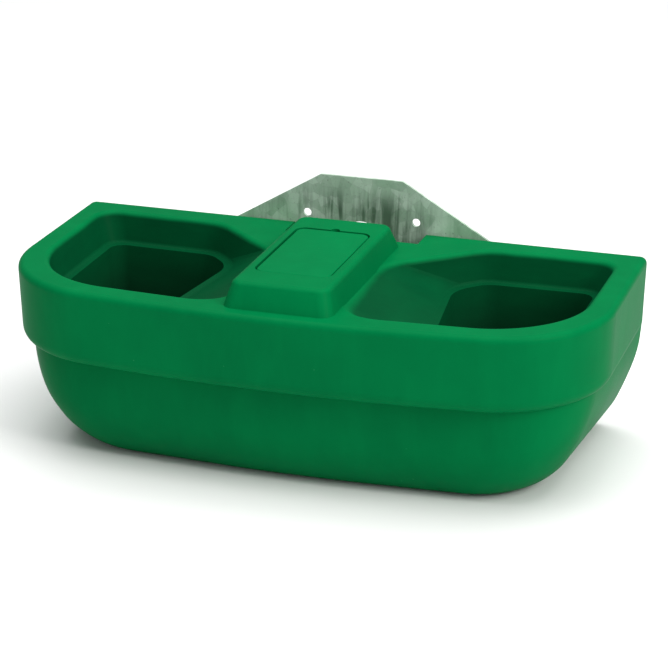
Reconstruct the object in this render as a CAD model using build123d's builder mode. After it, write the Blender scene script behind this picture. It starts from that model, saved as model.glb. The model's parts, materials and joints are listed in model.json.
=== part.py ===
from build123d import *
import math
import os

# ---------------------------------------------------------------------------
# Wall-hung double drinking bowl for livestock: a hollow moulded polyethylene
# trough with two bowls, a float-valve compartment between them under a flush
# cover, and a galvanised steel wall plate.  Millimetres, +Z up, +Y towards the
# wall, X along the wall.  Origin: midway between the two wall-bolt holes, on
# the wall face of the plate.
# ---------------------------------------------------------------------------

# --- overall sizes ----------------------------------------------------------
PLATE_T = 4.0            # wall plate thickness
BACK_Y = -PLATE_T        # rear plane of the moulding (front face of the plate)
RIM_Z = -12.8            # rim plane, measured from the wall-bolt line
HALF_W = 384.0           # half width at the back corners
SKIN = 5.0               # moulded wall thickness

UPPER_D = 100.0          # depth of the upper band below the rim
UPPER_DRAFT = 0.04       # inward run per unit of depth, front of the upper band
LOWER_D = 238.0          # rim to flat bottom

BOWL_D = 190.0           # bowl floor below the rim
LEDGE_D = 40.0           # small step round each bowl
LEDGE_W = 10.0
BOWL_DRAFT = 0.05

PLATEAU_H = 30.0         # valve housing above the rim
COVER_W, COVER_L, COVER_R, COVER_T = 95.4, 173.0, 11.5, 4.0
COVER_GAP = 2.2          # gap round the cover
COVER_Y = -200.5         # cover centre, from the rear plane
OPEN_W, OPEN_L = 86.0, 163.0

BOLT_PITCH, BOLT_R = 150.0, 5.5       # wall bolts, 11 mm holes for M10
PIPE_HOLE_R = 31.0
AXIS_Z = RIM_Z - 24.0    # inlet axis
TAIL_R = 10.48           # 1/2 inch BSP male tail, major radius

# --- float valve ------------------------------------------------------------
COMP_Y = -119.0          # compartment rear wall, from the rear plane
POCKET_Y = -107.0        # pipe pocket, from the rear plane
WALL_Y = BACK_Y + COMP_Y # same wall in part coordinates
PIVOT_Y = -152.0
PIVOT_DROP = 19.0        # pivot below the inlet axis
CRANK = 16.0             # pivot to crank tip
ARM_REST = 35.0          # arm below horizontal with the bowls empty, degrees
ARM_TRAVEL = 32.0
ARM_L = 94.0             # pivot to float centre
FLOAT_R, FLOAT_HALF = 31.0, 33.0
PIVOT_Z = AXIS_Z - PIVOT_DROP

os.makedirs("parts", exist_ok=True)


def offset_poly(pts, ts):
    """Polygon with each edge i (pts[i] to pts[i+1]) moved inwards by ts[i]."""
    n = len(pts)
    area = sum(pts[i][0] * pts[(i + 1) % n][1] - pts[(i + 1) % n][0] * pts[i][1] for i in range(n))
    s = 1.0 if area > 0 else -1.0
    lines = []
    for i in range(n):
        (x0, y0), (x1, y1) = pts[i], pts[(i + 1) % n]
        dx, dy = x1 - x0, y1 - y0
        d = math.hypot(dx, dy)
        nx, ny = -dy / d * s, dx / d * s
        lines.append((x0 + nx * ts[i], y0 + ny * ts[i], dx / d, dy / d))
    out = []
    for i in range(n):
        ax, ay, adx, ady = lines[i - 1]
        bx, by, bdx, bdy = lines[i]
        det = adx * bdy - ady * bdx
        k = ((bx - ax) * bdy - (by - ay) * bdx) / det
        out.append((ax + adx * k, ay + ady * k))
    return out


def ring(pts, radii):
    """Closed outline with one line per edge and one arc per corner."""
    n = len(pts)
    corner = []
    for i in range(n):
        p, a, b = Vector(*pts[i]), Vector(*pts[i - 1]), Vector(*pts[(i + 1) % n])
        u, v = (a - p).normalized(), (b - p).normalized()
        half = math.acos(max(-1, min(1, u.dot(v)))) / 2
        tl = radii[i] / math.tan(half)
        mid = p + (u + v).normalized() * (radii[i] / math.sin(half) - radii[i])
        corner.append((p + u * tl, mid, p + v * tl))
    for i in range(n):
        s, m, e = corner[i]
        ThreePointArc(s, m, e)
        Line(e, corner[(i + 1) % n][0])


# outer outline: back right, front right, front middle, front left, back left
def upper_outline(d, t):
    k = UPPER_DRAFT * d + t
    w0, w1 = HALF_W - 0.015 * d, HALF_W + 4.0 - 0.045 * d
    pts = offset_poly([(w0, 0), (w1, -341.0), (0, -381.0), (-w1, -341.0), (-w0, 0)], [t, k, k, t, t])
    return [(x, y + BACK_Y) for x, y in pts], [9 + 0.11 * d - t / 2, 150 - k, 2000 - k, 150 - k, 9 + 0.11 * d - t / 2]


# lower band by depth: half width at the back, the front corner's inset, its
# radius, front middle, the front corner's step back
LOWER = [
    (84.0, 382.0, 17.0, 112.0, 346.0, 30.0),
    (105.0, 380.0, 17.0, 112.0, 346.0, 30.0),
    (130.0, 376.0, 17.0, 108.0, 345.0, 29.0),
    (152.0, 369.5, 17.0, 101.0, 342.5, 28.0),
    (175.0, 361.0, 18.0, 97.0, 337.5, 26.0),
    (194.0, 353.0, 20.5, 94.0, 329.0, 24.0),
    (208.0, 345.5, 22.5, 91.0, 320.5, 22.0),
    (220.0, 336.0, 24.5, 88.0, 311.0, 20.0),
    (229.0, 326.0, 26.0, 86.0, 302.5, 18.0),
    (235.0, 315.0, 27.0, 84.0, 294.0, 17.0),
    (238.0, 302.0, 27.5, 82.0, 286.0, 17.0),
]


def lower_outline(row, t):
    """The inner skin is the same outline moved in by t."""
    _, w, f, rc, y, s = row
    pts = offset_poly([(w, 0), (w - f, s - y), (0, -y), (f - w, s - y), (-w, 0)], [t] * 5)
    return [(x, y + BACK_Y) for x, y in pts], [9 - t / 2, rc - t / 2, 1900, rc - t / 2, 9 - t / 2]


# right-hand bowl outlines: front centre, front outer, back outer, back, centre
BOWL_TOP = [(67, -330.0), (352, -312.0), (353, -37.0), (182, -42.0), (67, -141.0)]
BOWL_TOP_R = [42, 128, 28, 58, 58]
BOWL_LEDGE = [(171, -318.0), (338, -303.0), (339, -46.0), (184, -50.0), (142, -92.0)]
BOWL_LEDGE_R = [30, 112, 24, 40, 58]


def bowl_outline(d, t):
    """Upper bowl wall, from the rim to the ledge; t moves the outline outwards."""
    f = d / LEDGE_D
    pts = [(a[0] + (b[0] - a[0]) * f, a[1] + (b[1] - a[1]) * f) for a, b in zip(BOWL_TOP, BOWL_LEDGE)]
    rad = [a + (b - a) * f + t / 2 for a, b in zip(BOWL_TOP_R, BOWL_LEDGE_R)]
    # the gentle slopes on the middle side are moved further, for the same skin
    pts = offset_poly(pts, [-t, -t, -t, -1.5 * t, -2.9 * t])
    return [(x, y + BACK_Y) for x, y in pts], rad


def deep_outline(d, t):
    k = LEDGE_W + BOWL_DRAFT * (d - LEDGE_D)
    pts = offset_poly(BOWL_LEDGE, [k - t] * 5)
    rad = [max(8, r - k * 0.6 + t / 2) for r in BOWL_LEDGE_R]
    return [(x, y + BACK_Y) for x, y in pts], rad


def box_outline(hw, y0, y1, r):
    return [(hw, y1 + BACK_Y), (hw, y0 + BACK_Y), (-hw, y0 + BACK_Y), (-hw, y1 + BACK_Y)], [r] * 4


# ---------------------------------------------------------------------------
# cavities and skins that shape the trough
# ---------------------------------------------------------------------------
# upper band, outer skin
with BuildPart() as upper_skin:
    for d in (0.0, UPPER_D):
        with BuildSketch(Plane.XY.offset(RIM_Z - d)):
            with BuildLine():
                ring(*upper_outline(d, 0.0))
            make_face()
    loft(ruled=True)
    fillet(upper_skin.faces().sort_by(Axis.Z)[0].edges(), radius=17)
    fillet(upper_skin.faces().sort_by(Axis.Z)[-1].edges(), radius=8)

# lower band, outer skin
with BuildPart() as lower_skin:
    for row in LOWER:
        with BuildSketch(Plane.XY.offset(RIM_Z - row[0])):
            with BuildLine():
                ring(*lower_outline(row, 0.0))
            make_face()
    loft()

# one bowl, as the water sees it
with BuildPart() as bowl_upper:
    for d in (-4.0, LEDGE_D):
        with BuildSketch(Plane.XY.offset(RIM_Z - d)):
            with BuildLine():
                ring(*bowl_outline(d, 0.0))
            make_face()
    loft(ruled=True)
    fillet(bowl_upper.faces().sort_by(Axis.Z)[0].edges(), radius=5)
with BuildPart() as bowl_deep:
    for d in (LEDGE_D - 8.0, BOWL_D):
        with BuildSketch(Plane.XY.offset(RIM_Z - d)):
            with BuildLine():
                ring(*deep_outline(d, 0.0))
            make_face()
    loft(ruled=True)
    fillet(bowl_deep.faces().sort_by(Axis.Z)[0].edges(), radius=15)

# raised valve housing between the bowls
with BuildPart() as plateau_skin:
    for h in (-14.0, PLATEAU_H):
        f = h / PLATEAU_H
        with BuildSketch(Plane.XY.offset(RIM_Z + h)):
            with BuildLine():
                ring(*box_outline(70 - 8.5 * f, -349 + 14 * f, -50 - 17 * f, 16 - 2 * f))
            make_face()
    loft(ruled=True)
    fillet(plateau_skin.faces().sort_by(Axis.Z)[-1].edges(), radius=7)

# open pocket in the back for the wall bolts and the supply pipe
with BuildPart() as back_recess:
    with BuildSketch(Plane.XZ.offset(-BACK_Y - 2)):
        with Locations((0, RIM_Z - 11)):
            RectangleRounded(182, 102, 14)
    extrude(amount=48)
    with BuildSketch(Plane.XZ.offset(-BACK_Y + 40)):
        with Locations((0, RIM_Z - 28)):
            RectangleRounded(72, 68, 12)
    extrude(amount=-POCKET_Y - 40)

# float compartment below the cover
with BuildPart() as compartment:
    for d, hw, y0, y1 in ((-PLATEAU_H - 2, OPEN_W / 2, COVER_Y - OPEN_L / 2, COMP_Y), (BOWL_D, 39.0, -278.0, COMP_Y)):
        with BuildSketch(Plane.XY.offset(RIM_Z - d)):
            with BuildLine():
                ring(*box_outline(hw, y0, y1, 10))
            make_face()
    loft(ruled=True)

# submerged water way joining the compartment to both bowls
with BuildPart() as water_way:
    with BuildSketch(Plane.YZ.offset(-190)):
        with Locations((BACK_Y - 200, RIM_Z - 160)):
            RectangleRounded(76, 44, 14)
    extrude(amount=380)

# ---------------------------------------------------------------------------
# hollow between the skins: the outer skin moved in, less every cavity moved out
# ---------------------------------------------------------------------------
with BuildPart() as hollow:
    for d in (SKIN, UPPER_D - SKIN):
        with BuildSketch(Plane.XY.offset(RIM_Z - d)):
            with BuildLine():
                ring(*upper_outline(d, SKIN))
            make_face()
    loft(ruled=True)
    fillet(hollow.faces().sort_by(Axis.Z)[0].edges(), radius=12)
    fillet(hollow.faces().sort_by(Axis.Z)[-1].edges(), radius=5)
with BuildPart() as hollow_low:
    for row in LOWER:
        with BuildSketch(Plane.XY.offset(RIM_Z - row[0] * (LOWER_D - SKIN) / LOWER_D)):
            with BuildLine():
                ring(*lower_outline(row, SKIN))
            make_face()
    loft()
with BuildPart() as fat_bowl_upper:
    for d in (-SKIN, LEDGE_D + SKIN):
        with BuildSketch(Plane.XY.offset(RIM_Z - d)):
            with BuildLine():
                ring(*bowl_outline(max(0.0, min(d, LEDGE_D)), SKIN))
            make_face()
    loft(ruled=True)
with BuildPart() as fat_bowl_deep:
    for d in (LEDGE_D - 8.0, BOWL_D + SKIN):
        with BuildSketch(Plane.XY.offset(RIM_Z - d)):
            with BuildLine():
                ring(*deep_outline(d, SKIN))
            make_face()
    loft(ruled=True)
    fillet(fat_bowl_deep.faces().sort_by(Axis.Z)[0].edges(), radius=17)

DRAIN_X, DRAIN_Y = 246.0, BACK_Y - 190.0
INSERTS = [(-150, -35), (150, -35), (-150, -112), (150, -112), (-55, -112), (55, -112)]
VENT = (236.0, -70.0)

with BuildPart() as core:
    add(hollow.part)
    add(hollow_low.part)
    # housing, inner skin
    for h in (-20.0, PLATEAU_H - SKIN):
        f = (h + SKIN) / PLATEAU_H
        with BuildSketch(Plane.XY.offset(RIM_Z + h)):
            with BuildLine():
                ring(*box_outline(65 - 8.5 * f, -344 + 14 * f, -55 - 17 * f, 12))
            make_face()
    loft(ruled=True)
    add(fat_bowl_upper.part, mode=Mode.SUBTRACT)
    add(fat_bowl_deep.part, mode=Mode.SUBTRACT)
    mirror(fat_bowl_upper.part, about=Plane.YZ, mode=Mode.SUBTRACT)
    mirror(fat_bowl_deep.part, about=Plane.YZ, mode=Mode.SUBTRACT)
    # compartment wall, with its mouth lip
    for d, hw, y0, y1 in ((-PLATEAU_H - 2, OPEN_W / 2 + 5, COVER_Y - OPEN_L / 2 - 5, COMP_Y + 5), (BOWL_D + SKIN, 44.0, -283.0, COMP_Y + 5)):
        with BuildSketch(Plane.XY.offset(RIM_Z - d)):
            with BuildLine():
                ring(*box_outline(hw, y0, y1, 14))
            make_face()
    loft(ruled=True, mode=Mode.SUBTRACT)
    with BuildSketch(Plane.XY.offset(RIM_Z + PLATEAU_H - 11)):
        with Locations((0, BACK_Y + COVER_Y)):
            RectangleRounded(COVER_W + 16, COVER_L + 16, 16)
    extrude(amount=20, mode=Mode.SUBTRACT)
    # skin round the back pocket
    with BuildSketch(Plane.XZ.offset(-BACK_Y - 2)):
        with Locations((0, RIM_Z - 11)):
            RectangleRounded(192, 112, 18)
    extrude(amount=53, mode=Mode.SUBTRACT)
    with BuildSketch(Plane.XZ.offset(-BACK_Y + 40)):
        with Locations((0, RIM_Z - 28)):
            RectangleRounded(82, 78, 16)
    extrude(amount=-COMP_Y - 40, mode=Mode.SUBTRACT)
    # skin round the water way
    with BuildSketch(Plane.YZ.offset(-190)):
        with Locations((BACK_Y - 200, RIM_Z - 160)):
            RectangleRounded(86, 54, 18)
    extrude(amount=380, mode=Mode.SUBTRACT)
    # tubes joining floor to bottom at the drains
    with BuildSketch(Plane.XY.offset(RIM_Z - LOWER_D - 1)):
        with Locations((DRAIN_X, DRAIN_Y), (-DRAIN_X, DRAIN_Y)):
            Circle(24)
    extrude(amount=60, mode=Mode.SUBTRACT)
    # bosses round the moulded-in inserts
    with BuildSketch(Plane.XZ.offset(-BACK_Y)):
        with Locations(*[(x, RIM_Z + z) for x, z in INSERTS]):
            Circle(9.5)
    extrude(amount=18, mode=Mode.SUBTRACT)

# ---------------------------------------------------------------------------
# the trough moulding
# ---------------------------------------------------------------------------
with BuildPart() as trough_body:
    add(upper_skin.part)
    add(lower_skin.part)
    add(bowl_upper.part, mode=Mode.SUBTRACT)
    mirror(bowl_upper.part, about=Plane.YZ, mode=Mode.SUBTRACT)
    # rounded bowl rims
    deck = trough_body.faces().filter_by(Axis.Z).filter_by(lambda f: abs(f.center().Z - RIM_Z) < 0.01).sort_by(SortBy.AREA)[-1]
    fillet([e for w in deck.inner_wires() for e in w.edges()], radius=8)
    add(bowl_deep.part, mode=Mode.SUBTRACT)
    mirror(bowl_deep.part, about=Plane.YZ, mode=Mode.SUBTRACT)
    add(plateau_skin.part)
    add(compartment.part, mode=Mode.SUBTRACT)
    add(back_recess.part, mode=Mode.SUBTRACT)
    add(water_way.part, mode=Mode.SUBTRACT)
    # rebate that the cover drops into, with a prising notch at its back edge
    with BuildSketch(Plane.XY.offset(RIM_Z + PLATEAU_H - COVER_T - 0.6)):
        with Locations((0, BACK_Y + COVER_Y)):
            RectangleRounded(COVER_W + 2 * COVER_GAP, COVER_L + 2 * COVER_GAP, COVER_R + COVER_GAP)
        with Locations((0, BACK_Y + COVER_Y + COVER_L / 2 + COVER_GAP)):
            Circle(6)
    extrude(amount=10, mode=Mode.SUBTRACT)
    add(core.part, mode=Mode.SUBTRACT)
    # drains
    with BuildSketch(Plane.XY.offset(RIM_Z - LOWER_D - 1)):
        with Locations((DRAIN_X, DRAIN_Y), (-DRAIN_X, DRAIN_Y)):
            Circle(15)
    extrude(amount=70, mode=Mode.SUBTRACT)
    # inlet hole through the compartment's rear wall
    with BuildSketch(Plane.XZ.offset(-BACK_Y + 100)):
        with Locations((0, AXIS_Z)):
            Circle(10.8)
    extrude(amount=25, mode=Mode.SUBTRACT)
    # insert holes and the moulding vent
    with BuildSketch(Plane.XZ.offset(-BACK_Y)):
        with Locations(*[(x, RIM_Z + z) for x, z in INSERTS]):
            Circle(4.5)
    extrude(amount=13, mode=Mode.SUBTRACT)
    with BuildSketch(Plane.XZ.offset(-BACK_Y)):
        with Locations((VENT[0], RIM_Z + VENT[1])):
            Circle(5)
    extrude(amount=SKIN + 4, mode=Mode.SUBTRACT)
print("trough", len(trough_body.solids()), trough_body.part.volume, trough_body.part.is_valid)
trough_body.part.label = "trough_body"
export_step(trough_body.part, "parts/trough_body.step")

# ---------------------------------------------------------------------------
# wall plate and its fixings
# ---------------------------------------------------------------------------
PLATE_TOP = RIM_Z + 67.0
PLATE_BOT = RIM_Z - 134.0
with BuildPart() as bracket_plate:
    with BuildSketch(Plane.XZ):
        with BuildLine():
            Polyline(
                (-56.3, PLATE_TOP), (56.3, PLATE_TOP), (188, PLATE_TOP - 78.3), (188, PLATE_BOT + 24),
                (164, PLATE_BOT), (-164, PLATE_BOT), (-188, PLATE_BOT + 24), (-188, PLATE_TOP - 78.3),
                close=True,
            )
        make_face()
        with Locations((-BOLT_PITCH / 2, 0), (BOLT_PITCH / 2, 0)):
            Circle(BOLT_R, mode=Mode.SUBTRACT)
        with Locations((0, AXIS_Z)):
            Circle(PIPE_HOLE_R, mode=Mode.SUBTRACT)
    extrude(amount=PLATE_T)
    fillet(bracket_plate.edges().filter_by(Axis.Y).filter_by(lambda e: abs(e.center().X) > 40 and e.geom_type == GeomType.LINE), radius=2)
    # countersunk from the wall face
    with Locations(Plane(origin=(0, 0, 0), x_dir=(-1, 0, 0), z_dir=(0, 1, 0))):
        with Locations(*[(-x, RIM_Z + z) for x, z in INSERTS]):
            CounterSinkHole(radius=3.3, counter_sink_radius=6.4, depth=PLATE_T, counter_sink_angle=90)
bracket_plate.part.label = "bracket_plate"
export_step(bracket_plate.part, "parts/bracket_plate.step")

with BuildPart() as bracket_screws:
    for x, z in INSERTS:
        with BuildSketch(Plane(origin=(x, 0, RIM_Z + z), x_dir=(1, 0, 0), z_dir=(0, 0, 1))):
            with BuildLine():
                Polyline((0, -0.3), (5.6, -0.3), (5.6, -0.6), (2.96, -3.24), (2.96, -15.2), (2.4, -15.8), (0, -15.8), close=True)
            make_face()
        revolve(axis=Axis((x, 0, RIM_Z + z), (0, 1, 0)))
        with BuildSketch(Plane(origin=(x, -0.3, RIM_Z + z), x_dir=(1, 0, 0), z_dir=(0, 1, 0))):
            RegularPolygon(radius=2.0, side_count=6, major_radius=False)
        extrude(amount=-2.4, mode=Mode.SUBTRACT)
bracket_screws.part.label = "bracket_screws"
export_step(bracket_screws.part, "parts/bracket_screws.step")

with BuildPart() as bracket_inserts:
    for x, z in INSERTS:
        with BuildSketch(Plane.XZ.offset(-BACK_Y + 0.05)):
            with Locations((x, RIM_Z + z)):
                Circle(4.48)
                Circle(3.0, mode=Mode.SUBTRACT)
        extrude(amount=12.0)
bracket_inserts.part.label = "bracket_inserts"
export_step(bracket_inserts.part, "parts/bracket_inserts.step")

with BuildPart() as vent_plug:
    with BuildSketch(Plane(origin=(VENT[0], BACK_Y, RIM_Z + VENT[1]), x_dir=(1, 0, 0), z_dir=(0, 0, 1))):
        with BuildLine():
            Polyline((0, 1.8), (7.0, 1.8), (8.0, 0.8), (8.0, 0.02), (4.9, 0.02), (4.9, -5.6), (4.4, -9.0), (0, -9.0), close=True)
        make_face()
    revolve(axis=Axis((VENT[0], BACK_Y, RIM_Z + VENT[1]), (0, 1, 0)))
vent_plug.part.label = "vent_plug"
export_step(vent_plug.part, "parts/vent_plug.step")

# ---------------------------------------------------------------------------
# cover over the valve compartment
# ---------------------------------------------------------------------------
COVER_Z = RIM_Z + PLATEAU_H - COVER_T - 0.6
with BuildPart() as service_cover:
    with BuildSketch(Plane.XY.offset(COVER_Z)):
        with Locations((0, BACK_Y + COVER_Y)):
            RectangleRounded(COVER_W, COVER_L, COVER_R)
    extrude(amount=COVER_T)
    fillet(service_cover.faces().sort_by(Axis.Z)[-1].edges(), radius=1.6)
    # locating skirt in the mouth of the compartment
    with BuildSketch(Plane.XY.offset(COVER_Z)):
        with Locations((0, BACK_Y + COVER_Y)):
            RectangleRounded(OPEN_W - 2.4, OPEN_L - 2.4, 8.8)
            RectangleRounded(OPEN_W - 6.4, OPEN_L - 6.4, 6.8, mode=Mode.SUBTRACT)
    extrude(amount=-9)
    # stiffening ribs under the plate
    with BuildSketch(Plane.XY.offset(COVER_Z)):
        with Locations((0, BACK_Y + COVER_Y)):
            with GridLocations(0, 52, 1, 2):
                Rectangle(OPEN_W - 6, 2.2)
            Rectangle(2.2, OPEN_L - 6)
    extrude(amount=-5)
service_cover.part.label = "service_cover"
export_step(service_cover.part, "parts/service_cover.step")

# ---------------------------------------------------------------------------
# drain bungs, one in each bowl
# ---------------------------------------------------------------------------
FLOOR_Z = RIM_Z - BOWL_D


with BuildPart() as right_drain_bung:
    with BuildSketch(Plane(origin=(DRAIN_X, DRAIN_Y, FLOOR_Z), x_dir=(1, 0, 0), z_dir=(0, -1, 0))):
        with BuildLine():
            Polyline((0, 6), (14, 6), (22, 3.5), (22, 0.05), (14.6, 0.05), (14.6, -26), (12.5, -29), (0, -29), close=True)
        make_face()
    revolve(axis=Axis((DRAIN_X, DRAIN_Y, FLOOR_Z), (0, 0, 1)))
    # moulded pull loop
    with BuildSketch(Plane(origin=(DRAIN_X, DRAIN_Y, FLOOR_Z + 5), x_dir=(1, 0, 0), z_dir=(0, -1, 0))):
        with Locations((0, 6)):
            RectangleRounded(26, 22, 10.5)
            RectangleRounded(15, 11.5, 5.5, mode=Mode.SUBTRACT)
    extrude(amount=3, both=True)
right_drain_bung.part.label = "right_drain_bung"
export_step(right_drain_bung.part, "parts/right_drain_bung.step")

with BuildPart() as left_drain_bung:
    mirror(right_drain_bung.part, about=Plane.YZ)
left_drain_bung.part.label = "left_drain_bung"
export_step(left_drain_bung.part, "parts/left_drain_bung.step")

# ---------------------------------------------------------------------------
# float valve: fixed pieces
# ---------------------------------------------------------------------------
INLET = Plane(origin=(0, 0, AXIS_Z), x_dir=(1, 0, 0), z_dir=(0, -1, 0))   # sketches look along the pipe


def at(y):
    """Plane square to the inlet axis at this y; extrusions run towards -Y."""
    return Plane(origin=(0, y, AXIS_Z), x_dir=(1, 0, 0), z_dir=(0, -1, 0))


FLANGE_Y = WALL_Y - 2.0          # inner washer is 2 mm
BODY_END = -168.0
SEAT_TIP = -139.0
with BuildPart() as valve_body:
    with BuildSketch(at(-74.0)):
        Circle(TAIL_R)
    extrude(amount=-FLANGE_Y - 74.0 + 1)
    chamfer(valve_body.faces().sort_by(Axis.Y)[-1].edges(), length=1.0)
    # thread run-out groove just short of the backnut
    with BuildSketch(at(-99.8)):
        Circle(TAIL_R + 2)
        Circle(9.5, mode=Mode.SUBTRACT)
    extrude(amount=1.8, mode=Mode.SUBTRACT)
    # spanner hexagon behind the wall washer
    with BuildSketch(at(FLANGE_Y)):
        RegularPolygon(radius=16.0, side_count=6, major_radius=False)
    extrude(amount=6)
    with BuildSketch(at(FLANGE_Y - 5)):
        Circle(13)
    extrude(amount=-BODY_END + FLANGE_Y - 5)
    # ears that hold the lever's pivot pin
    with BuildSketch(Plane(origin=(0, 0, 0), x_dir=(0, 1, 0), z_dir=(1, 0, 0))):
        with BuildLine():
            Polyline((PIVOT_Y - 8, AXIS_Z - 6), (PIVOT_Y + 8, AXIS_Z - 6), (PIVOT_Y + 6, PIVOT_Z), (PIVOT_Y - 6, PIVOT_Z), close=True)
        make_face()
        with Locations((PIVOT_Y, PIVOT_Z)):
            Circle(6)
    extrude(amount=7.2, both=True)
    with BuildSketch(Plane(origin=(0, 0, 0), x_dir=(0, 1, 0), z_dir=(1, 0, 0))):
        with Locations((PIVOT_Y, PIVOT_Z - 1)):
            Rectangle(22, 21)
    extrude(amount=3.1, both=True, mode=Mode.SUBTRACT)
    with BuildSketch(at(-70.0)):
        Circle(5.5)
    extrude(amount=62, mode=Mode.SUBTRACT)
    with BuildSketch(at(SEAT_TIP + 8.0)):
        Circle(9)
    extrude(amount=60, mode=Mode.SUBTRACT)
    # slot for the crank, and the outlet
    with BuildSketch(Plane.XY.offset(AXIS_Z)):
        with Locations((0, PIVOT_Y)):
            Rectangle(6.2, 13)
        with Locations((0, -141.0)):
            Circle(3.4)
    extrude(amount=-16, mode=Mode.SUBTRACT)
    # pin holes
    with BuildSketch(Plane.YZ.offset(-10)):
        with Locations((PIVOT_Y, PIVOT_Z)):
            Circle(2.03)
    extrude(amount=20, mode=Mode.SUBTRACT)
valve_body.part.label = "valve_body"
export_step(valve_body.part, "parts/valve_body.step")

with BuildPart() as valve_seat:
    with BuildSketch(at(SEAT_TIP + 7.95)):
        Circle(8.97)
    extrude(amount=5.0)
    with BuildSketch(at(SEAT_TIP + 3.0)):
        Circle(4.2)
    extrude(amount=3.0, taper=12)
    with BuildSketch(at(SEAT_TIP + 9.0)):
        Circle(2.0)
    extrude(amount=10.0, mode=Mode.SUBTRACT)
valve_seat.part.label = "valve_seat"
export_step(valve_seat.part, "parts/valve_seat.step")

with BuildPart() as valve_end_cap:
    with BuildSketch(at(BODY_END - 0.02)):
        Circle(13.4)
    extrude(amount=3.5)
    chamfer(valve_end_cap.faces().sort_by(Axis.Y)[0].edges(), length=0.8)
    with BuildSketch(at(BODY_END + 2.0)):
        Circle(8.97)
    extrude(amount=3.0)
    with BuildSketch(at(BODY_END - 5)):
        Rectangle(20, 2.4)
    extrude(amount=-2.0, mode=Mode.SUBTRACT)
valve_end_cap.part.label = "valve_end_cap"
export_step(valve_end_cap.part, "parts/valve_end_cap.step")

with BuildPart() as inlet_washers:
    for y in (WALL_Y, BACK_Y + POCKET_Y + 2.0):
        with BuildSketch(at(y)):
            Circle(16)
            Circle(10.6, mode=Mode.SUBTRACT)
        extrude(amount=2.0)
inlet_washers.part.label = "inlet_washers"
export_step(inlet_washers.part, "parts/inlet_washers.step")

with BuildPart() as inlet_backnut:
    with BuildSketch(at(BACK_Y + POCKET_Y + 9.0)):
        RegularPolygon(radius=14.5, side_count=6, major_radius=False)
        Circle(10.5, mode=Mode.SUBTRACT)
    extrude(amount=7.0)
inlet_backnut.part.label = "inlet_backnut"
export_step(inlet_backnut.part, "parts/inlet_backnut.step")

with BuildPart() as pivot_pin:
    with BuildSketch(Plane.YZ.offset(-8.9)):
        with Locations((PIVOT_Y, PIVOT_Z)):
            Circle(3.4)
    extrude(amount=1.5)
    with BuildSketch(Plane.YZ.offset(-8.0)):
        with Locations((PIVOT_Y, PIVOT_Z)):
            Circle(2.0)
    extrude(amount=19.0)
    chamfer(pivot_pin.faces().sort_by(Axis.X)[-1].edges(), length=0.4)
    with BuildSketch(Plane.XY.offset(PIVOT_Z - 4)):
        with Locations((9.2, PIVOT_Y)):
            Circle(0.75)
    extrude(amount=8, mode=Mode.SUBTRACT)
pivot_pin.part.label = "pivot_pin"
export_step(pivot_pin.part, "parts/pivot_pin.step")

with BuildPart() as pivot_split_pin:
    with BuildSketch(Plane.XY.offset(PIVOT_Z - 6)):
        with Locations((9.2, PIVOT_Y)):
            Circle(0.7)
    extrude(amount=9.0)
    with BuildSketch(Plane(origin=(9.2, PIVOT_Y, PIVOT_Z + 4.4), x_dir=(0, 1, 0), z_dir=(1, 0, 0))):
        Circle(2.0)
        Circle(0.9, mode=Mode.SUBTRACT)
    extrude(amount=0.5, both=True)
pivot_split_pin.part.label = "pivot_split_pin"
export_step(pivot_split_pin.part, "parts/pivot_split_pin.step")

# ---------------------------------------------------------------------------
# float valve: moving pieces
# ---------------------------------------------------------------------------
HALF_T = math.radians(ARM_TRAVEL / 2)
TIP_Y = PIVOT_Y - CRANK * math.sin(HALF_T)      # crank tip with the float down
TIP_Z = PIVOT_Z + CRANK * math.cos(HALF_T)
with BuildPart() as valve_piston:
    with BuildSketch(at(SEAT_TIP - 9.1)):
        Circle(8.95)
    extrude(amount=16.6)
    # recess for the rubber disc
    with BuildSketch(at(SEAT_TIP - 9.0)):
        Circle(7.0)
    extrude(amount=3.1, mode=Mode.SUBTRACT)
    # slot for the crank tip
    with BuildSketch(Plane(origin=(0, 0, 0), x_dir=(0, 1, 0), z_dir=(1, 0, 0))):
        with BuildLine():
            Polyline(
                (TIP_Y - 2.5, AXIS_Z + 0.2), (TIP_Y + 2.5, AXIS_Z + 0.2), (TIP_Y + 2.5, AXIS_Z - 5.6), (TIP_Y + 5.2, AXIS_Z - 9.6),
                (TIP_Y - 5.2, AXIS_Z - 9.6), (TIP_Y - 2.5, AXIS_Z - 5.6), close=True,
            )
        make_face()
    extrude(amount=2.6, both=True, mode=Mode.SUBTRACT)
valve_piston.part.label = "valve_piston"
export_step(valve_piston.part, "parts/valve_piston.step")

with BuildPart() as piston_washer:
    with BuildSketch(at(SEAT_TIP - 9.0)):
        Circle(6.95)
    extrude(amount=3.05)
piston_washer.part.label = "piston_washer"
export_step(piston_washer.part, "parts/piston_washer.step")

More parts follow.
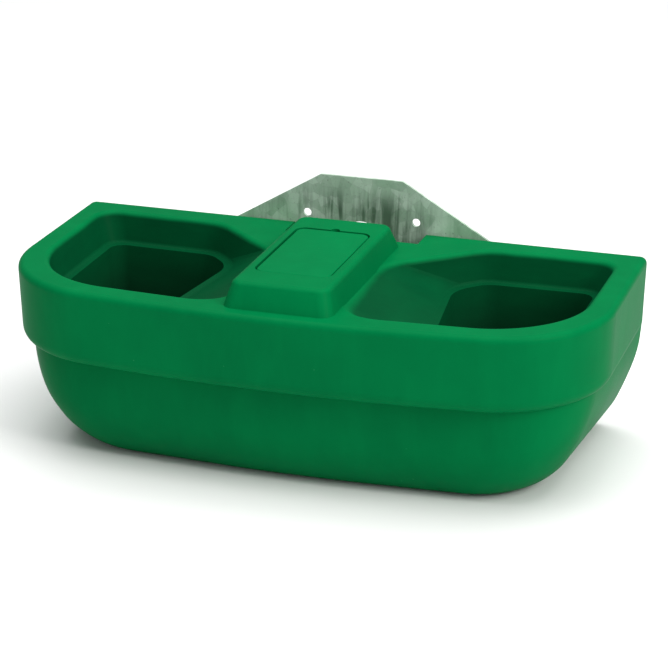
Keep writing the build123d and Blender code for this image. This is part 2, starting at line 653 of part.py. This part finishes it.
A = math.radians(ARM_REST)
ARM_DIR = Vector(0, -math.cos(A), -math.sin(A))
PIVOT = Vector(0, PIVOT_Y, PIVOT_Z)
FLOAT_C = PIVOT + ARM_DIR * ARM_L
ARM_PLANE = Plane(origin=PIVOT, x_dir=(1, 0, 0), z_dir=ARM_DIR)
CRANK_DIR = Vector(0, TIP_Y - PIVOT_Y, TIP_Z - PIVOT_Z).normalized()
CRANK_N = Vector(0, CRANK_DIR.Z, -CRANK_DIR.Y)
with BuildPart() as float_arm:
    # crank blade and pivot boss
    with BuildSketch(Plane(origin=PIVOT, x_dir=CRANK_N, z_dir=CRANK_N.cross(CRANK_DIR))):
        with BuildLine():
            Polyline((-3.0, 0), (3.0, 0), (1.5, CRANK), (-1.5, CRANK), close=True)
        make_face()
        with Locations((0, CRANK)):
            Circle(2.0)
        Circle(4.4)
    extrude(amount=2.0, both=True)
    with BuildSketch(Plane.YZ.offset(-2.7)):
        with Locations((PIVOT_Y, PIVOT_Z)):
            Circle(5.0)
    extrude(amount=5.4)
    # round rod to the float
    with BuildSketch(ARM_PLANE.offset(3.0)):
        Circle(2.6)
    extrude(amount=ARM_L - FLOAT_R + 8.0)
    with BuildSketch(Plane.YZ.offset(-10)):
        with Locations((PIVOT_Y, PIVOT_Z)):
            Circle(2.06)
    extrude(amount=20, mode=Mode.SUBTRACT)
float_arm.part.label = "float_arm"
export_step(float_arm.part, "parts/float_arm.step")

# hollow float: two welded half shells, split square to the arm
FP = Plane(origin=FLOAT_C, x_dir=(1, 0, 0), z_dir=ARM_DIR.cross(Vector(1, 0, 0)))   # local y is away from or along the arm
SIGN = 1 if FP.y_dir.dot(ARM_DIR) > 0 else -1
with BuildPart() as float_whole:
    with BuildSketch(FP):
        with BuildLine():
            Polyline((-FLOAT_HALF, 0), (FLOAT_HALF, 0), (FLOAT_HALF, FLOAT_R - 9), (FLOAT_HALF - 9, FLOAT_R), (-FLOAT_HALF + 9, FLOAT_R), (-FLOAT_HALF, FLOAT_R - 9), close=True)
        make_face()
        fillet(vertices().filter_by(lambda v: abs(v.Y) > 5), radius=9)
    revolve(axis=Axis(FLOAT_C, (1, 0, 0)))
    with BuildSketch(FP):
        with BuildLine():
            Polyline((-FLOAT_HALF + 2.2, 0), (FLOAT_HALF - 2.2, 0), (FLOAT_HALF - 2.2, FLOAT_R - 10), (FLOAT_HALF - 10, FLOAT_R - 2.2), (-FLOAT_HALF + 10, FLOAT_R - 2.2), (-FLOAT_HALF + 2.2, FLOAT_R - 10), close=True)
        make_face()
    revolve(axis=Axis(FLOAT_C, (1, 0, 0)), mode=Mode.SUBTRACT)
    # boss for the threaded bush, and the weld flange
    with BuildSketch(ARM_PLANE.offset(ARM_L - FLOAT_R - 4.0)):
        Circle(8.0)
    extrude(amount=24.0)
    with BuildSketch(ARM_PLANE.offset(ARM_L - FLOAT_R - 5.0)):
        Circle(4.5)
    extrude(amount=22.0, mode=Mode.SUBTRACT)
with BuildPart() as float_rear_shell:
    add(float_whole.part)
    with BuildSketch(ARM_PLANE.offset(ARM_L)):
        RectangleRounded(2 * FLOAT_HALF + 3.0, 2 * FLOAT_R + 3.0, 8)
        RectangleRounded(2 * FLOAT_HALF - 5.0, 2 * FLOAT_R - 5.0, 5, mode=Mode.SUBTRACT)
    extrude(amount=-1.6)
    split(bisect_by=ARM_PLANE.offset(ARM_L), keep=Keep.BOTTOM)
with BuildPart() as float_front_shell:
    add(float_whole.part)
    with BuildSketch(ARM_PLANE.offset(ARM_L)):
        RectangleRounded(2 * FLOAT_HALF + 3.0, 2 * FLOAT_R + 3.0, 8)
        RectangleRounded(2 * FLOAT_HALF - 5.0, 2 * FLOAT_R - 5.0, 5, mode=Mode.SUBTRACT)
    extrude(amount=1.6)
    split(bisect_by=ARM_PLANE.offset(ARM_L), keep=Keep.TOP)
float_rear_shell.part.label = "float_rear_shell"
export_step(float_rear_shell.part, "parts/float_rear_shell.step")
float_front_shell.part.label = "float_front_shell"
export_step(float_front_shell.part, "parts/float_front_shell.step")

with BuildPart() as float_bush:
    with BuildSketch(ARM_PLANE.offset(ARM_L - FLOAT_R - 4.5)):
        Circle(4.47)
        Circle(2.63, mode=Mode.SUBTRACT)
    extrude(amount=20.0)
float_bush.part.label = "float_bush"
export_step(float_bush.part, "parts/float_bush.step")

with BuildPart() as float_locknut:
    with BuildSketch(ARM_PLANE.offset(ARM_L - FLOAT_R - 10.0)):
        RegularPolygon(radius=5.0, side_count=6, major_radius=False)
        Circle(2.63, mode=Mode.SUBTRACT)
    extrude(amount=5.0)
float_locknut.part.label = "float_locknut"
export_step(float_locknut.part, "parts/float_locknut.step")

for p in (trough_body, bracket_plate, bracket_screws, bracket_inserts, vent_plug, service_cover, right_drain_bung, left_drain_bung,
          valve_body, valve_seat, valve_end_cap, inlet_washers, inlet_backnut, pivot_pin, pivot_split_pin, valve_piston, piston_washer,
          float_arm, float_rear_shell, float_front_shell, float_bush, float_locknut):
    print(p.part.label, len(p.solids()), round(p.part.volume), p.part.is_valid)
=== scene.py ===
import json
import math

import bpy
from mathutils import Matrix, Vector


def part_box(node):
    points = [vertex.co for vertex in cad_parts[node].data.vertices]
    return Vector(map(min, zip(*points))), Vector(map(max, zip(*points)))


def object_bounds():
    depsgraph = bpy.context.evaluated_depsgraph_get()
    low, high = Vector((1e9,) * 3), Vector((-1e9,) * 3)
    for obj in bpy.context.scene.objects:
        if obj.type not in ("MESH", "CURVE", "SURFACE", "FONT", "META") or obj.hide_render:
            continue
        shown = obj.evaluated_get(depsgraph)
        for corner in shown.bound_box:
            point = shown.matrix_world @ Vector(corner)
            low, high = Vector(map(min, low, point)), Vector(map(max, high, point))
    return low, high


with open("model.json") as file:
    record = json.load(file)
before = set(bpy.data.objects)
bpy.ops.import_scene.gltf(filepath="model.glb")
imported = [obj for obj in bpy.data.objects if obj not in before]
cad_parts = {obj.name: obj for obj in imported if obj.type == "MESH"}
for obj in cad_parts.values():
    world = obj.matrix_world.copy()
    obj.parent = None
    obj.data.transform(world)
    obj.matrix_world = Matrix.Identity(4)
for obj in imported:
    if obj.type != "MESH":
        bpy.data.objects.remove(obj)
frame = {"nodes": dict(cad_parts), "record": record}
cad_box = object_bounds()
nodes = frame["nodes"]
scene = bpy.context.scene
scene.view_settings.view_transform = "Standard"
RIM_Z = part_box("trough_body")[1][2] - 0.030  # deck plane: the housing stands 30 mm above it


# ---------------------------------------------------------------------------
# node helpers
# ---------------------------------------------------------------------------
class Mat:
    """A node material with short calls for the parts every finish here is made of."""

    def __init__(self, name):
        self.mat = bpy.data.materials.new(name)
        self.mat.use_nodes = True
        self.tree = self.mat.node_tree
        self.bsdf = next(n for n in self.tree.nodes if n.type == "BSDF_PRINCIPLED")
        self.coord = self.tree.nodes.new("ShaderNodeTexCoord").outputs["Object"]

    def new(self, kind, **values):
        n = self.tree.nodes.new(kind)
        for k, v in values.items():
            setattr(n, k, v)
        return n

    def link(self, a, b):
        self.tree.links.new(a, b)

    def scaled(self, x=1.0, y=1.0, z=1.0):
        m = self.new("ShaderNodeMapping")
        m.inputs["Scale"].default_value = (x, y, z)
        self.link(self.coord, m.inputs["Vector"])
        return m.outputs["Vector"]

    def noise(self, scale, detail=4.0, rough=0.5, vector=None, distortion=0.0):
        n = self.new("ShaderNodeTexNoise")
        n.inputs["Scale"].default_value = scale
        n.inputs["Detail"].default_value = detail
        n.inputs["Roughness"].default_value = rough
        n.inputs["Distortion"].default_value = distortion
        self.link(vector or self.coord, n.inputs["Vector"])
        return n.outputs["Fac"]

    def cells(self, scale, feature="F1", output="Distance", vector=None, randomness=1.0):
        n = self.new("ShaderNodeTexVoronoi", feature=feature)
        n.inputs["Scale"].default_value = scale
        n.inputs["Randomness"].default_value = randomness
        self.link(vector or self.coord, n.inputs["Vector"])
        return n.outputs[output]

    def ramp(self, fac, stops):
        r = self.new("ShaderNodeValToRGB")
        els = r.color_ramp.elements
        while len(els) < len(stops):
            els.new(0.5)
        for e, (p, c) in zip(els, stops):
            e.position = p
            e.color = c if len(c) == 4 else (*c, 1.0)
        self.link(fac, r.inputs["Fac"])
        return r.outputs["Color"]

    def span(self, fac, lo, hi, to_lo, to_hi, smooth=False):
        n = self.new("ShaderNodeMapRange", clamp=True)
        if smooth:
            n.interpolation_type = "SMOOTHSTEP"
        for k, v in (("From Min", lo), ("From Max", hi), ("To Min", to_lo), ("To Max", to_hi)):
            n.inputs[k].default_value = v
        self.link(fac, n.inputs["Value"])
        return n.outputs["Result"]

    def math(self, op, a, b=None):
        n = self.new("ShaderNodeMath", operation=op)
        for i, v in enumerate((a, b)):
            if v is None:
                continue
            if isinstance(v, (int, float)):
                n.inputs[i].default_value = v
            else:
                self.link(v, n.inputs[i])
        return n.outputs[0]

    def mix(self, fac, a, b, blend="MIX"):
        n = self.new("ShaderNodeMix", data_type="RGBA", blend_type=blend)
        for sock, v in ((n.inputs[0], fac), (n.inputs[6], a), (n.inputs[7], b)):
            if isinstance(v, (int, float)):
                sock.default_value = v
            elif isinstance(v, tuple):
                sock.default_value = (*v, 1.0) if len(v) == 3 else v
            else:
                self.link(v, sock)
        return n.outputs[2]

    def axis(self, which):
        n = self.new("ShaderNodeSeparateXYZ")
        self.link(self.coord, n.inputs[0])
        return n.outputs[which]

    def bump(self, layers):
        """layers: (height, distance in metres, strength)."""
        normal = None
        for height, distance, strength in layers:
            b = self.new("ShaderNodeBump")
            b.inputs["Distance"].default_value = distance
            b.inputs["Strength"].default_value = strength
            self.link(height, b.inputs["Height"])
            if normal is not None:
                self.link(normal, b.inputs["Normal"])
            normal = b.outputs["Normal"]
        self.link(normal, self.bsdf.inputs["Normal"])

    def set(self, **values):
        for k, v in values.items():
            sock = self.bsdf.inputs[k.replace("_", " ")]
            if isinstance(v, (int, float)):
                sock.default_value = v
            elif isinstance(v, tuple):
                sock.default_value = (*v, 1.0) if len(v) == 3 else v
            else:
                self.link(v, sock)


# ---------------------------------------------------------------------------
# finishes
# ---------------------------------------------------------------------------
def moulded_green(name, base, light, dark, peel, paint_bowl_shade=False):
    """Rotationally moulded polyethylene: soft cloudiness, pigment specks, orange peel, faint rubs; painted shade
    inside the bowls.
    """
    m = Mat(name)
    cloud = m.noise(5.5, 4, 0.55)
    col = m.mix(m.span(cloud, 0.32, 0.70, 0.0, 1.0), dark, base)
    flow = m.noise(1.0, 3, 0.6, vector=m.scaled(26, 26, 7), distortion=0.4)
    col = m.mix(m.span(flow, 0.45, 0.78, 0.0, 0.30), col, light)
    grain = m.noise(900, 2, 0.6)
    col = m.mix(m.span(grain, 0.35, 0.68, 0.0, 0.14), col, light)
    # pale pigment specks, few and small
    speck = m.cells(62, "F1", "Distance")
    pick = m.noise(17, 1, 0.4)
    fleck = m.math("MULTIPLY", m.span(speck, 0.045, 0.075, 1.0, 0.0), m.span(pick, 0.62, 0.66, 0.0, 1.0))
    col = m.mix(m.math("MULTIPLY", fleck, 0.30), col, (0.06, 0.30, 0.13))
    # rub marks: thin, pale, broken lines
    rub = m.noise(1.0, 6, 0.7, vector=m.scaled(9, 9, 210), distortion=0.15)
    where = m.noise(3.2, 2, 0.5)
    rubs = m.math("MULTIPLY", m.span(rub, 0.66, 0.74, 0.0, 1.0), m.span(where, 0.55, 0.68, 0.0, 1.0))
    col = m.mix(m.math("MULTIPLY", rubs, 0.16), col, (0.09, 0.30, 0.16))
    if paint_bowl_shade:
        # painted shade below the lip of each bowl, and only there: the mask follows the lip's
        # outline, draws in below the ledge, and ends at the bowl floor
        side = m.math("ABSOLUTE", m.axis("X"))
        y = m.axis("Y")
        rim = m.math("ADD", m.axis("Z"), m.span(m.noise(9, 3, 0.6), 0.3, 0.7, -0.0012, 0.0012))
        bowl_shade_mask = m.span(rim, RIM_Z - 0.0010, RIM_Z - 0.0070, 0.0, 1.0, smooth=True)
        front = m.math("SUBTRACT", y, m.math("MULTIPLY", m.math("SUBTRACT", side, 0.067), 0.063))
        dx = m.math("MAXIMUM", m.math("SUBTRACT", side, 0.224), 0.0)
        dy = m.math("MAXIMUM", m.math("SUBTRACT", -0.206, front), 0.0)
        r = m.math("SQRT", m.math("ADD", m.math("MULTIPLY", dx, dx), m.math("MULTIPLY", dy, dy)))
        r = m.math("ADD", r, m.span(m.axis("Z"), RIM_Z - 0.036, RIM_Z - 0.046, 0.0, 0.012))
        r = m.math("ADD", r, m.span(m.axis("Z"), RIM_Z - 0.150, RIM_Z - 0.188, 0.0, 0.020))
        for axis, lo, hi in ((side, 0.057, 0.062), (r, 0.137, 0.132), (y, -0.028, -0.033), (m.axis("Z"), RIM_Z - 0.194, RIM_Z - 0.192)):
            bowl_shade_mask = m.math("MULTIPLY", bowl_shade_mask, m.span(axis, lo, hi, 0.0, 1.0))
        # painted shade that grows deeper further down the bowl
        deep_shade_mask = m.span(rim, RIM_Z - 0.030, RIM_Z - 0.150, 0.0, 1.0)
        shade_mottle = m.noise(1.0, 4, 0.6, vector=m.scaled(14, 14, 40), distortion=0.3)
        # painted shade: darkens the bowl walls below the lip, unevenly by noise
        col = m.mix(m.math("MULTIPLY", bowl_shade_mask, m.span(shade_mottle, 0.25, 0.75, 0.60, 0.71)), col, (0.001, 0.020, 0.009))
        # more painted shade further down the bowl
        col = m.mix(m.math("MULTIPLY", m.math("MULTIPLY", bowl_shade_mask, deep_shade_mask), 0.70), col, (0.006, 0.016, 0.009))
    rough = m.math("ADD", m.span(cloud, 0.3, 0.7, 0.36, 0.45), m.span(grain, 0.3, 0.7, -0.03, 0.04))
    rough = m.math("ADD", rough, m.math("MULTIPLY", rubs, 0.14))
    m.set(Base_Color=col, Roughness=rough, Metallic=0.0, IOR=1.51, Specular_IOR_Level=0.012)
    m.bump([
        (m.noise(16, 3, 0.5), 0.0022, 0.16),
        (m.noise(380, 3, 0.55), 0.00030, peel),
        (grain, 0.00008, 0.35),
    ])
    return m.mat


def galvanised(name):
    """Hot-dip zinc: crystal spangle, drain streaks, dull white bloom and green rub-off low down."""
    m = Mat(name)
    wob = m.noise(30, 3, 0.6)
    spangle = m.cells(78, "F1", "Color")
    sep = m.new("ShaderNodeSeparateColor")
    m.link(spangle, sep.inputs[0])
    tone = sep.outputs[0]
    fine = m.cells(240, "F1", "Distance")
    col = m.ramp(tone, [(0.0, (0.42, 0.56, 0.44)), (0.45, (0.51, 0.66, 0.53)), (1.0, (0.63, 0.77, 0.65))])
    edge = m.cells(78, "DISTANCE_TO_EDGE", "Distance")
    col = m.mix(m.span(edge, 0.0, 0.05, 0.22, 0.0), col, (0.24, 0.28, 0.25))
    col = m.mix(m.span(fine, 0.2, 0.6, 0.0, 0.18), col, (0.60, 0.65, 0.62))
    # vertical drain streaks
    streak = m.noise(1.0, 5, 0.62, vector=m.scaled(85, 85, 7), distortion=0.5)
    z = m.axis("Z")
    low = m.span(z, 0.048, 0.006, 0.0, 1.0, smooth=True)
    low = m.math("MULTIPLY", low, m.span(m.math("ABSOLUTE", m.axis("X")), 0.105, 0.055, 0.25, 1.0))
    col = m.mix(m.span(streak, 0.52, 0.72, 0.0, 0.20), col, (0.27, 0.38, 0.28))
    dark = m.math("MULTIPLY", m.span(streak, 0.44, 0.60, 0.0, 1.0), low)
    col = m.mix(m.math("MULTIPLY", dark, 0.84), col, (0.035, 0.085, 0.045))
    # chalky bloom and green haze
    bloom = m.noise(14, 5, 0.65, distortion=0.6)
    col = m.mix(m.span(bloom, 0.50, 0.70, 0.0, 0.42), col, (0.66, 0.76, 0.67))
    haze = m.noise(6, 3, 0.5)
    col = m.mix(m.span(haze, 0.42, 0.64, 0.0, 0.50), col, (0.30, 0.55, 0.34))
    pit = m.math("MULTIPLY", m.span(m.noise(420, 2, 0.6), 0.66, 0.72, 0.0, 1.0), 0.5)
    col = m.mix(pit, col, (0.10, 0.11, 0.10))
    rough = m.math("ADD", m.span(tone, 0.0, 1.0, 0.40, 0.56), m.span(bloom, 0.45, 0.7, 0.0, 0.16))
    m.set(Base_Color=col, Roughness=rough, Metallic=m.span(bloom, 0.5, 0.72, 0.42, 0.15))
    m.bump([(wob, 0.0008, 0.25), (edge, 0.00010, 0.30), (fine, 0.00008, 0.25)])
    return m.mat


def metal(name, light, dark, rough_lo, rough_hi, turned, stain=None):
    """Machined or drawn metal: fine tool lines, tarnish in patches."""
    m = Mat(name)
    patch = m.noise(70, 4, 0.6, distortion=0.3)
    col = m.mix(m.span(patch, 0.35, 0.68, 0.0, 1.0), dark, light)
    lines = m.noise(1.0, 3, 0.5, vector=m.scaled(*turned))
    col = m.mix(m.span(lines, 0.35, 0.7, 0.0, 0.22), col, dark)
    if stain:
        spot = m.noise(190, 3, 0.6)
        col = m.mix(m.span(spot, 0.60, 0.72, 0.0, 0.55), col, stain)
    m.set(Base_Color=col, Metallic=1.0, Roughness=m.math("ADD", m.span(patch, 0.3, 0.7, rough_lo, rough_hi), m.span(lines, 0.3, 0.7, -0.04, 0.05)))
    m.bump([(lines, 0.00005, 0.35), (patch, 0.0002, 0.12)])
    return m.mat


def soft(name, light, dark, rough_lo, rough_hi, fine, dust=None):
    """Rubber and small plastic mouldings: mottled, finely grained, a little dust."""
    m = Mat(name)
    mottle = m.noise(55, 4, 0.55)
    col = m.mix(m.span(mottle, 0.3, 0.7, 0.0, 1.0), dark, light)
    grain = m.noise(fine, 3, 0.6)
    col = m.mix(m.span(grain, 0.4, 0.7, 0.0, 0.25), col, light)
    if dust:
        bloom = m.noise(130, 5, 0.7)
        col = m.mix(m.span(bloom, 0.55, 0.72, 0.0, 0.35), col, dust)
    m.set(Base_Color=col, Roughness=m.span(mottle, 0.3, 0.7, rough_lo, rough_hi), Metallic=0.0)
    m.bump([(grain, 0.00008, 0.45), (mottle, 0.0003, 0.15)])
    return m.mat


finish = {
    # the trough body gets painted shade inside its bowls
    "green_polyethylene": moulded_green("green_polyethylene", (0.000, 0.158, 0.044), (0.001, 0.190, 0.054), (0.000, 0.130, 0.037), 0.16, paint_bowl_shade=True),
    "green_cover": moulded_green("green_cover", (0.000, 0.166, 0.047), (0.001, 0.200, 0.057), (0.000, 0.140, 0.040), 0.12),
    "galvanised_steel": galvanised("galvanised_steel"),
    "stainless_steel": metal("stainless_steel", (0.62, 0.62, 0.61), (0.42, 0.42, 0.42), 0.26, 0.40, (900, 60, 900)),
    "brass": metal("brass", (0.72, 0.50, 0.20), (0.48, 0.31, 0.11), 0.24, 0.42, (60, 1100, 60), stain=(0.20, 0.17, 0.08)),
    "black_plastic": soft("black_plastic", (0.030, 0.031, 0.033), (0.014, 0.014, 0.015), 0.38, 0.52, 900, dust=(0.10, 0.10, 0.10)),
    "black_rubber": soft("black_rubber", (0.026, 0.026, 0.027), (0.010, 0.010, 0.011), 0.62, 0.82, 700, dust=(0.13, 0.125, 0.12)),
    "white_nylon": soft("white_nylon", (0.80, 0.79, 0.74), (0.68, 0.67, 0.61), 0.34, 0.48, 600),
    "float_plastic": soft("float_plastic", (0.74, 0.75, 0.72), (0.60, 0.61, 0.58), 0.34, 0.50, 420, dust=(0.50, 0.50, 0.44)),
}
for sub in frame["record"]["subparts"]:
    obj = nodes[sub["node"]]
    mat = finish[sub["material_slot"]]
    if not obj.material_slots:
        obj.data.materials.append(mat)
    for s in obj.material_slots:
        s.material = mat

# ---------------------------------------------------------------------------
# floor, light and camera
# ---------------------------------------------------------------------------
base_z = cad_box[0][2]
mid = Vector([(a + b) / 2 for a, b in zip(cad_box[0], cad_box[1])])

R, N = 9.0, 96
verts = [(mid.x, mid.y, base_z)] + [
    (mid.x + R * math.cos(2 * math.pi * i / N), mid.y + R * math.sin(2 * math.pi * i / N), base_z) for i in range(N)
]
faces = [(0, 1 + i, 1 + (i + 1) % N) for i in range(N)]
mesh = bpy.data.meshes.new("floor")
mesh.from_pydata(verts, [], faces)
floor = bpy.data.objects.new("floor", mesh)
scene.collection.objects.link(floor)
f = Mat("floor_pale")
tone = f.noise(1.7, 4, 0.5)
f.set(Base_Color=f.mix(f.span(tone, 0.3, 0.7, 0.0, 1.0), (0.83, 0.83, 0.825), (0.87, 0.87, 0.865)), Roughness=0.75)
f.bump([(f.noise(240, 3, 0.6), 0.0002, 0.1)])
mesh.materials.append(f.mat)

world = bpy.data.worlds.new("studio")
scene.world = world
world.use_nodes = True
bg = next(n for n in world.node_tree.nodes if n.type == "BACKGROUND")
bg.inputs["Color"].default_value = (0.97, 0.985, 1.0, 1.0)
bg.inputs["Strength"].default_value = 0.30


def softbox(name, where, target, size, power, tint=(1, 1, 1)):
    light = bpy.data.lights.new(name, "AREA")
    light.shape = "RECTANGLE"
    light.size, light.size_y = size
    light.energy = power
    light.color = tint
    o = bpy.data.objects.new(name, light)
    o.location = where
    o.rotation_euler = (Vector(target) - Vector(where)).to_track_quat("-Z", "Y").to_euler()
    scene.collection.objects.link(o)


softbox("key", (3.0, -1.3, 2.0), mid, (1.6, 1.6), 85.0, (1.0, 0.99, 0.97))
softbox("top", (0.0, 0.0, 4.6), mid, (6.0, 6.0), 365.0)
softbox("front", (0.9, -3.4, 1.2), mid, (2.0, 1.4), 6.0)

AZ, EL, DIST = math.radians(17.939), math.radians(20.646), 3.2350
target = Vector((0.02348, -0.19400, -0.09344))
back = Vector((math.sin(AZ) * math.cos(EL), -math.cos(AZ) * math.cos(EL), math.sin(EL)))
cam_data = bpy.data.cameras.new("camera")
cam_data.sensor_width = 36.0
cam_data.lens = 2563.28 / 668.0 * 36.0
cam_data.clip_end = 60.0
cam = bpy.data.objects.new("camera", cam_data)
cam.location = target + back * DIST
cam.rotation_euler = back.to_track_quat("Z", "Y").to_euler()
scene.collection.objects.link(cam)
scene.camera = cam
